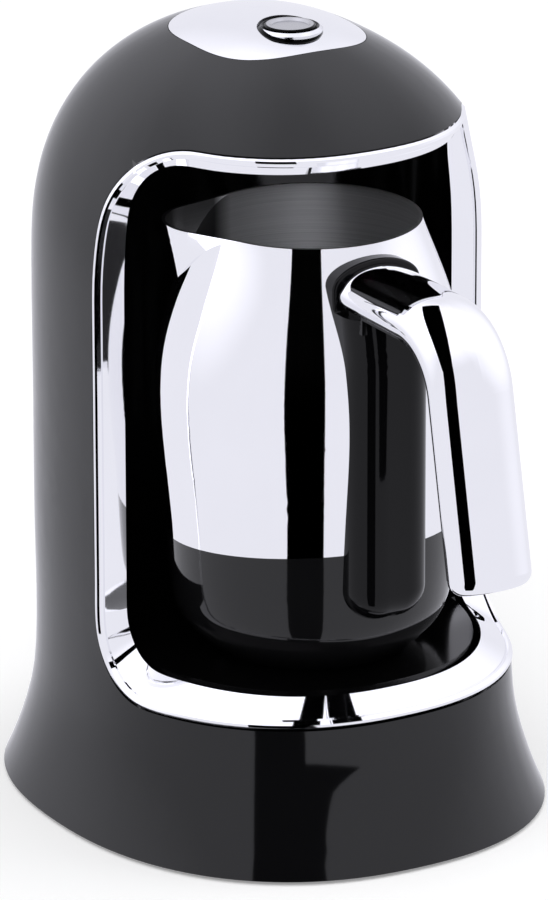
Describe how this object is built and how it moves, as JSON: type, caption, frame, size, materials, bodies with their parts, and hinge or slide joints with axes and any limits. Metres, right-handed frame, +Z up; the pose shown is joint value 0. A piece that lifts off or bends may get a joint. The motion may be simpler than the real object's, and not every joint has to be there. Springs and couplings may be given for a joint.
{
  "type": "electric turkish coffee maker",
  "caption": "Domed table-top coffee maker: an electric steel pot with a bowed handle slides into a bay in a flared stand, with a push button on its crown.",
  "frame": {"origin": "on the table, under the middle of the whole object's bounding box", "axes": "+Z up; -Y is the front, where the pot is drawn out; +X to the right seen from the front"},
  "size_m": [0.1836, 0.2646, 0.2896],
  "materials": {
    "black_shell": "black piano gloss moulding",
    "chrome_trim": "polished chrome plating on plastic",
    "bay_black": "glossy black moulding",
    "cap_chrome": "polished chrome plating on plastic",
    "black_gloss": "glossy black",
    "button_dark": "grey-black, soft gloss",
    "board_green": "circuit board with solder mask",
    "black_plastic": "fine grained black",
    "rubber_soft": "soft grey silicone",
    "rubber_black": "black rubber",
    "screw_steel": "zinc plated steel",
    "terminal_ivory": "ivory terminal moulding",
    "transformer_yellow": "taped winding",
    "relay_blue": "blue relay case",
    "capacitor_sleeve": "dark shrink sleeve",
    "sensor_glass": "dark smoked window",
    "brass_contacts": "bare brass",
    "pot_steel": "polished stainless steel",
    "pot_black": "semi-gloss black",
    "handle_chrome": "bright chrome",
    "heater_aluminium": "bare aluminium",
    "heater_steel": "heat-darkened steel sheath"
  },
  "bodies": {
    "stand": {"outer_shell": "black_shell", "trim_ring": "chrome_trim", "bay_liner": "bay_black", "top_plate": "cap_chrome", "button_bezel": "black_gloss", "button_board": "board_green", "tact_switch": "black_plastic", "return_dome": "rubber_soft", "button_board_screws": "screw_steel", "base_plate": "black_plastic", "rubber_feet": "rubber_black", "base_screws": "screw_steel", "cord_gland": "rubber_black", "terminal_block": "terminal_ivory", "control_board": "board_green", "board_screws": "screw_steel", "transformer": "transformer_yellow", "relay": "relay_blue", "capacitors": "capacitor_sleeve", "buzzer": "black_plastic", "sensor_window": "sensor_glass", "foam_sensor": "black_plastic", "bay_plug": "black_plastic", "plug_blades": "brass_contacts"},
    "button": {"button_cap": "button_dark"},
    "pot": {"pot_body": "pot_steel", "pot_base": "pot_black", "pot_base_screws": "screw_steel", "heating_plate": "heater_aluminium", "heating_element": "heater_steel", "thermostat": "black_plastic", "pot_socket": "black_plastic", "contact_clips": "brass_contacts", "handle_cover": "handle_chrome", "handle_bracket": "screw_steel", "handle_frame": "pot_black", "handle_screw": "screw_steel"}
  },
  "joints": [
    {"name": "button_press", "type": "slide", "parent": "stand", "child": "button", "axis": [0, 0, -1], "range_m": [0, 0.0012], "stiffness_N_per_m": 1200, "deforming": ["return_dome"]},
    {"name": "pot_draw", "type": "slide", "parent": "stand", "child": "pot", "axis": [0, -1, 0], "range_m": [0, 0.15]}
  ]
}
